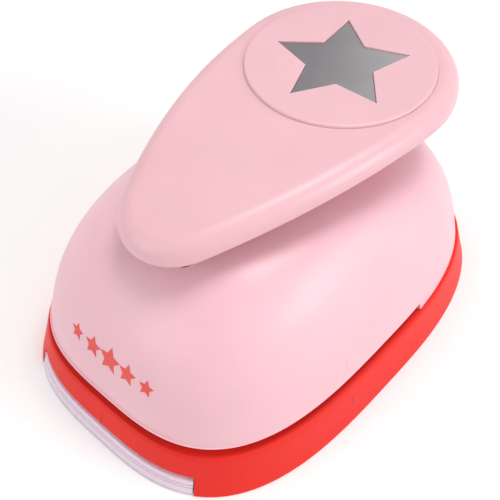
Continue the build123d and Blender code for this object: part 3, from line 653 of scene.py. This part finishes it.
# ---------------------------------------------------------------- lever
def teardrop_columns(end_points=(30, 44, 56)):
    """Points and outward normals round the lever: two end circles joined by long arcs."""
    to_wide = SIDE_R - WIDE_R
    to_narrow = SIDE_R - NARROW_R
    span = WIDE_Y - NARROW_Y
    reach = (to_narrow**2 - to_wide**2 + span**2) / (2 * span)
    centre_x, centre_y = -math.sqrt(to_narrow**2 - reach**2), NARROW_Y + reach
    narrow_turn = math.atan2(NARROW_Y - centre_y, -centre_x)
    wide_turn = math.atan2(WIDE_Y - centre_y, -centre_x)
    arcs = (
        (0, NARROW_Y, NARROW_R, -math.pi / 2, narrow_turn, end_points[0]),
        (centre_x, centre_y, SIDE_R, narrow_turn, wide_turn, end_points[1]),
        (0, WIDE_Y, WIDE_R, wide_turn, math.pi / 2, end_points[2]),
    )
    points, normals = [], []
    for x, y, radius, start, stop, count in arcs:
        for turn in np.linspace(start, stop, count, endpoint=False):
            normals.append((math.cos(turn), math.sin(turn)))
            points.append((x + radius * normals[-1][0], y + radius * normals[-1][1]))
    points.append((0, WIDE_Y + WIDE_R))
    normals.append((0, 1))
    points, normals = np.array(points), np.array(normals)
    mirror = np.array([-1, 1])
    points = np.vstack([points, points[-2:0:-1] * mirror])
    normals = np.vstack([normals, normals[-2:0:-1] * mirror])
    return points, normals


def lever_top(y):
    """Height of the lever's top: level over the wide end, bending down to the tip."""
    ahead = np.maximum(0, LEVER_BEND_Y - np.asarray(y))
    return LEVER_TOP_Z - LEVER_BEND_R + np.sqrt(LEVER_BEND_R**2 - ahead**2)


def make_lever():
    shape = Shape()
    points, normals = teardrop_columns()
    socket_r = BADGE_R + BADGE_SOCKET_GAP
    socket_z = badge_low.z - 0.02 * MM
    middle = np.array([0, BADGE_Y])
    away = points - middle
    away /= np.linalg.norm(away, axis=1)[:, None]
    floor = middle + away * socket_r
    # socket for the badge, top face and rounded edge
    rings = [lift(middle + away * socket_r * t, socket_z) for t in (0.3, 0.98)]
    rings.append(lift(floor, socket_z))
    rings.append(lift(floor, LEVER_TOP_Z - 0.06 * MM))
    rings.append(lift(middle + away * (socket_r + 0.06 * MM), LEVER_TOP_Z))
    rim = middle + away * (socket_r + 0.3 * MM)
    crown = points - normals * LEVER_EDGE_R
    for t in np.linspace(0, 1, 30):
        flat = rim + (crown - rim) * t
        rings.append(lift(flat, lever_top(flat[:, 1])))
    top = lever_top(points[:, 1])
    for turn in np.linspace(0, math.pi / 2, 12)[1:]:
        flat = points - normals * LEVER_EDGE_R * (1 - math.sin(turn))
        rings.append(lift(flat, lever_top(flat[:, 1]) - LEVER_EDGE_R * (1 - math.cos(turn))))
    # rim, then the hollow under the top
    low = top - LEVER_RIM_T
    for turn in np.linspace(0, math.pi / 2, 6):
        flat = points - normals * LEVER_LOW_EDGE_R * (1 - math.cos(turn))
        rings.append(lift(flat, low + LEVER_LOW_EDGE_R * (1 - math.sin(turn))))
    rings.append(lift(points - normals * (WALL - 0.3 * MM), low))
    rings.append(lift(points - normals * WALL, low + 0.3 * MM))
    ceiling = top - WALL
    for turn in np.linspace(0, math.pi / 2, 6):
        flat = points - normals * (WALL + LEVER_CEILING_R * (1 - math.cos(turn)))
        rings.append(lift(flat, ceiling - LEVER_CEILING_R * (1 - math.sin(turn))))
    inside = rings[-1][:, :2]
    spine = np.column_stack([inside[:, 0] * 0, np.clip(inside[:, 1], NARROW_Y, WIDE_Y)])
    for t in np.linspace(0.1, 0.97, 9):
        flat = inside + (spine - inside) * t
        rings.append(lift(flat, lever_top(flat[:, 1]) - WALL))
    shape.rings(rings)
    # lugs on the lever's pin, and cheeks beside the roller
    lug_outline = arm_outline(PIVOT, LUG_R, LUG_TOP_Z)
    roller = ((roller_low.y + roller_high.y) / 2, (roller_low.z + roller_high.z) / 2)
    cheek_outline = arm_outline(roller, CHEEK_R, LEVER_TOP_Z - 1.8 * MM)
    for side in (-1, 1):
        lug_x = sorted(side * place for place in LUG_X)
        side_plate(shape, *lug_x, lug_outline, circle_yz(PIVOT, LUG_BORE_R))
        cheek_x = sorted(side * place for place in CHEEK_X)
        side_plate(shape, *cheek_x, cheek_outline, circle_yz(roller, CHEEK_BORE_R))
    new_piece("lever_shell_visual", shape.points, shape.faces, lever_plastic, "lever",
              ["lever_shell"])


make_lever()


# ---------------------------------------------------------------- badge and its metal star
star_turns = np.linspace(0, 2 * math.pi, 360, endpoint=False) + math.radians(-90 + INLAY_TURN)


def star_reach(inset=0.0, turns=star_turns, tip=STAR_TIP_R, root=STAR_ROOT_R):
    """Distance from the middle to the star's edge for each turn; the first one is a tip."""
    sector = math.pi / 5
    step = np.mod(turns - turns[0], 2 * sector)
    step = np.minimum(step, 2 * sector - step)
    edge = np.array([root * math.cos(sector) - tip, root * math.sin(sector)])
    normal = np.array([edge[1], -edge[0]]) / np.linalg.norm(edge)
    gap = abs(tip * normal[0]) - inset
    return gap / np.abs(np.cos(step) * normal[0] + np.sin(step) * normal[1])


def polar_ring(reach, z):
    """Ring round the badge's middle, reach being one distance or one for each turn."""
    x = np.cos(star_turns) * reach
    y = BADGE_Y + np.sin(star_turns) * reach
    return np.column_stack([x, y, np.broadcast_to(z, len(star_turns))])


def make_badge():
    shape = Shape()
    top = badge_high.z
    edge = BADGE_EDGE_R
    rings = [polar_ring(BADGE_R * 0.5, badge_low.z), polar_ring(BADGE_R - 0.15 * MM, badge_low.z)]
    rings.append(polar_ring(BADGE_R, badge_low.z + 0.15 * MM))
    for turn in np.linspace(0, math.pi / 2, 8):
        reach = BADGE_R - edge * (1 - math.cos(turn))
        rings.append(polar_ring(reach, top - edge * (1 - math.sin(turn))))
    flat_r = BADGE_R - edge - 0.2 * MM
    star = star_reach()
    lip = star_reach(-STAR_LIP)
    for t in (0, 0.35, 0.7, 0.95, 1.0):
        rings.append(polar_ring(flat_r + (lip - flat_r) * t, top))
    rings.append(polar_ring(star, top - STAR_LIP))
    socket_z = inlay_low.z - 0.04 * MM
    rings.append(polar_ring(star, socket_z))
    rings.append(polar_ring(star * 0.4, socket_z))
    shape.rings(rings)
    new_piece("badge_disc_visual", shape.points, shape.faces, lever_plastic, "lever",
              ["badge_disc"])


def make_inlay():
    shape = Shape()
    side = star_reach(INLAY_GAP)
    face = star_reach(INLAY_GAP + INLAY_BEVEL)
    rings = [polar_ring(side * t, inlay_low.z) for t in (0.5, 1)]
    rings.append(polar_ring(side, inlay_high.z - INLAY_BEVEL))
    rings += [polar_ring(face * t, inlay_high.z) for t in (1, 0.9, 0.6, 0.3)]
    shape.rings(rings)
    new_piece("star_inlay_visual", shape.points, shape.faces, star_metal, "lever",
              ["star_inlay"], 20)


make_badge()
make_inlay()


# ---------------------------------------------------------------- translucent chip tray
def make_tray():
    shape = Shape()
    # (inset, height) in mm round the lip's section, with its two ridges, the rim and the floor strip
    profile = [
        (0.45, 0.25), (0.2, 0.35), (0.06, 0.6), (0.06, 1.75), (0.12, 1.9), (0.4, 2.0), (0.4, 2.2),
        (0.12, 2.3), (0.06, 2.45), (0.12, 2.62), (0.4, 2.72), (0.4, 2.92), (0.12, 3.02),
        (0.06, 3.2), (0.06, 3.7), (0.12, 3.86), (0.25, 3.96), (0.4, 3.99), (3.4, 3.99),
        (3.6, 3.8), (3.6, 1.7), (3.8, 1.5), (7.4, 1.5), (7.6, 1.3), (7.6, 0.4), (7.4, 0.25),
    ]
    turns = np.linspace(math.pi, 2 * math.pi, 2001)
    front = superellipse(turns, *FOOT)
    inside = turns[np.abs(front[:, 0]) < TRAY_LIP_HALF_X]
    turns = np.linspace(inside[0], inside[-1], 121)
    sections = []
    for turn in turns:
        section = []
        for inset, z in profile:
            half_w, half_l = skirt_size(z * MM)
            flat = superellipse(np.array([turn]), half_w - inset * MM, half_l - inset * MM)[0]
            section.append((flat[0], flat[1], z * MM))
        sections.append(np.array(section)[::-1])
    shape.rings(sections)

    def pan(inset):
        flat = outline_at(BED, WALL + TRAY_GAP + inset)
        flat[:, 1] = np.minimum(flat[:, 1], TRAY_END_Y - inset)
        return flat

    # (inset, height) in mm up the pan's outside, over its rim and down to its floor
    steps = ((0.4, 0.2), (0.1, 0.3), (0.0, 0.6), (0.0, 3.8), (0.2, 4.0), (1.3, 4.0), (1.5, 3.8),
             (1.5, 1.8), (1.8, 1.5))
    shape.rings([lift(pan(inset * MM), z * MM) for inset, z in steps])
    knuckle, bore = (circle_yz(TRAY_HINGE, radius) for radius in (KNUCKLE_R, KNUCKLE_BORE_R))
    for side in (-1, 1):
        x = sorted(side * place for place in KNUCKLE_X)
        side_plate(shape, *x, knuckle, bore)
        arm = rounded_rectangle(*x, TRAY_END_Y - 1.0 * MM, TRAY_HINGE[0] - 1.2 * MM, 0.3 * MM, 4)
        shape.rings([lift(arm, 0.22 * MM), lift(arm, TRAY_FLOOR_T)])
    new_piece("chip_tray_visual", shape.points, shape.faces, tray_plastic, "tray",
              ["chip_tray"])


make_tray()


# ---------------------------------------------------------------- printed stars and moulded ticks
def housing_front(x, z, proud):
    """Point on the housing's front face at x and z, moved outwards by proud."""
    share = (z - BED_Z) / (DOME_TOP_Z - BED_Z)
    scale, _ = crown_scale(share)
    half_w, half_l = DOME[0] * scale + proud, DOME[1] * scale + proud
    return (x, -half_l * (1 - abs(x / half_w) ** FRONT_POWER) ** (1 / FRONT_POWER), z)


PRINT_SPACING = 5.3 * MM
PRINT_Z = 23.8 * MM
PRINTED_TIP_R = (2.0, 2.5, 3.1, 2.5, 2.0)
PRINT_RINGS = ((-0.3, 1.0), (0.05, 1.0), (0.08, 0.94), (0.08, 0.5))
TICK_HALF_W = 0.16 * MM
TICK_DEPTH = 0.2 * MM
BASE_TICK_Z = (5.2, 8.4)
HOUSING_TICK_Z = (16.6, 19.8)


def make_print():
    """Five small stars; each is a thin plug in the housing that stands 0.08 mm proud of it."""
    shape = Shape()
    printed_turns = np.linspace(0, 2 * math.pi, 60, endpoint=False)
    for k, size in enumerate(PRINTED_TIP_R):
        centre_x = (k - 2) * PRINT_SPACING
        rings = []
        for proud, grow in PRINT_RINGS:
            ring = []
            reaches = star_reach(0, printed_turns, size * MM, size * 0.5 * MM) * grow
            for turn, reach in zip(printed_turns, reaches):
                x = centre_x + reach * math.sin(turn)
                z = PRINT_Z + reach * math.cos(turn)
                ring.append(housing_front(x, z, proud * MM))
            rings.append(ring[::-1])
        shape.rings([np.array(ring) for ring in rings])
    new_piece("printed_stars", shape.points, shape.faces, mark_red, "root")


def tick(shape, places, width_axis):
    """Adds a thin raised line through places, a list of (inner, outer) point pairs."""
    half = np.zeros(3)
    half[width_axis] = TICK_HALF_W
    rings = []
    for inner, outer in places:
        inner, outer = np.array(inner), np.array(outer)
        rings.append(np.array([inner - half, outer - half * 0.6, outer + half * 0.6, inner + half]))
    shape.rings(rings)


def right_side_places(half_w, half_l, z, proud):
    """Inner and outer point of a tick on the right side, level with the die's middle."""
    x = half_w * (1 - abs(DIE_Y / half_l) ** FRONT_POWER) ** (1 / FRONT_POWER)
    return (x - TICK_DEPTH, DIE_Y, z), (x + proud, DIE_Y, z)


def make_ticks():
    shape = Shape()
    front, side = [], []
    proud = 0.03 * MM
    for z in np.linspace(*BASE_TICK_Z, 5) * MM:
        half_w, half_l = skirt_size(z)
        front.append(((0, -half_l + TICK_DEPTH, z), (0, -half_l - proud, z)))
        side.append(right_side_places(half_w, half_l, z, proud))
    tick(shape, front, 0)
    tick(shape, side, 1)
    # the base ticks' dark red is painted shade for an engraved groove
    new_piece("base_ticks", shape.points, shape.faces, groove_shade_red, "root")
    shape = Shape()
    side = []
    for z in np.linspace(*HOUSING_TICK_Z, 5) * MM:
        scale, _ = crown_scale((z - BED_Z) / (DOME_TOP_Z - BED_Z))
        side.append(right_side_places(DOME[0] * scale, DOME[1] * scale, z, 0.02 * MM))
    tick(shape, side, 1)
    # the housing tick's darker pink is painted shade for an engraved groove
    new_piece("housing_tick", shape.points, shape.faces, groove_shade_pink, "root")


make_print()
make_ticks()


# ---------------------------------------------------------------- return springs
SPRING_PLACES = [(x * MM, DIE_Y + y * MM) for x in (-19, 19) for y in (-12, 12)]
SPRING_COIL_R = 2.7 * MM
SPRING_WIRE_R = 0.38 * MM
SPRING_TURNS = 7


def make_springs():
    """Coils whose first and last turns lie closed."""
    shape = Shape()
    foot = spring_low.z + SPRING_WIRE_R
    rise = spring_high.z - SPRING_WIRE_R - foot
    along_wire = np.linspace(0, 1, SPRING_TURNS * 28)
    closed = 2 * SPRING_WIRE_R / rise
    heights = np.interp(along_wire, [0, 1 / SPRING_TURNS, 1 - 1 / SPRING_TURNS, 1],
                        [0, closed, 1 - closed, 1])
    section = np.linspace(0, 2 * math.pi, 10, endpoint=False)
    for x, y in SPRING_PLACES:
        rings = []
        for share, height in zip(along_wire, heights):
            turn = 2 * math.pi * SPRING_TURNS * share
            reach = SPRING_COIL_R + SPRING_WIRE_R * np.cos(section)
            z = foot + rise * height + SPRING_WIRE_R * np.sin(section)
            ring = np.column_stack([x + reach * math.cos(turn), y + reach * math.sin(turn), z])
            rings.append(ring[::-1])
        shape.rings(rings)
    springs = new_piece("return_springs_visual", shape.points, shape.faces, spring_steel, "root",
                        ["return_springs"])
    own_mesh(springs)


make_springs()


# ---------------------------------------------------------------- stage
FLOOR_REACH = 4.0
FLOOR_PAPER = (0.93, 0.925, 0.92)
LIGHT_AIM = (0, 0, 0.03)
WORLD_STRENGTH = 0.56


def make_stage():
    floor_mesh = bpy.data.meshes.new("floor")
    corners = [(x * FLOOR_REACH, y * FLOOR_REACH, 0) for x, y in ((-1, -1), (1, -1), (1, 1), (-1, 1))]
    floor_mesh.from_pydata(corners, [], [(0, 1, 2, 3)])
    floor = bpy.data.objects.new("floor", floor_mesh)
    bpy.context.scene.collection.objects.link(floor)
    made, tree, shader = material("floor_paper", FLOOR_PAPER, roughness=0.85)
    shades = [(0.3, (0.92, 0.915, 0.91)), (0.7, (0.94, 0.935, 0.93))]
    tree.links.new(ramp(tree, noise(tree, 14, 3), shades), shader.inputs["Base Color"])
    floor_mesh.materials.append(made)
    floor.location.z = -0.02 * MM


def area_light(name, position, size, power):
    """Round white lamp that faces the object."""
    lamp = bpy.data.lights.new(name, "AREA")
    lamp.shape = "DISK"
    lamp.size = size
    lamp.energy = power
    holder = bpy.data.objects.new(name, lamp)
    holder.location = position
    facing = Vector(LIGHT_AIM) - Vector(position)
    holder.rotation_euler = facing.to_track_quat("-Z", "Y").to_euler()
    bpy.context.scene.collection.objects.link(holder)


make_stage()
area_light("top_softbox", (0.05, 0.18, 0.75), 0.35, 2.6)
area_light("right_softbox", (0.75, 0.25, 0.35), 0.4, 2.8)
area_light("front_fill", (-0.3, -0.8, 0.35), 0.6, 1.9)

world = bpy.data.worlds.new("studio")
bpy.context.scene.world = world
world.use_nodes = True
world.node_tree.nodes["Background"].inputs["Color"].default_value = (1, 1, 1, 1)
world.node_tree.nodes["Background"].inputs["Strength"].default_value = WORLD_STRENGTH
bpy.context.scene.view_settings.view_transform = "Standard"

# ---------------------------------------------------------------- camera
CAMERA_AZIMUTH = math.radians(43.14)
CAMERA_HEIGHT = math.radians(50.04)
CAMERA_ROLL = math.radians(-1.29)
CAMERA_DISTANCE = 188.4 * MM
CAMERA_AIM_Z = 35.0 * MM
CAMERA_AIM_RIGHT = -3.27 * MM
CAMERA_AIM_UP = -11.96 * MM
CAMERA_LENS = 60.5


def make_camera():
    backward = Vector((
        math.sin(CAMERA_AZIMUTH) * math.cos(CAMERA_HEIGHT),
        -math.cos(CAMERA_AZIMUTH) * math.cos(CAMERA_HEIGHT),
        math.sin(CAMERA_HEIGHT),
    ))
    level = Vector((math.cos(CAMERA_AZIMUTH), math.sin(CAMERA_AZIMUTH), 0))
    rise = backward.cross(level)
    aim = Vector((0, 0, CAMERA_AIM_Z)) + level * CAMERA_AIM_RIGHT + rise * CAMERA_AIM_UP
    right = level * math.cos(CAMERA_ROLL) + rise * math.sin(CAMERA_ROLL)
    up = rise * math.cos(CAMERA_ROLL) - level * math.sin(CAMERA_ROLL)
    pose = Matrix((right, up, backward)).transposed().to_4x4()
    pose.translation = aim + backward * CAMERA_DISTANCE
    camera = bpy.data.objects.new("camera", bpy.data.cameras.new("camera"))
    camera.data.lens = CAMERA_LENS
    camera.data.clip_start = 0.01
    camera.matrix_world = pose
    bpy.context.scene.collection.objects.link(camera)
    bpy.context.scene.camera = camera


make_camera()
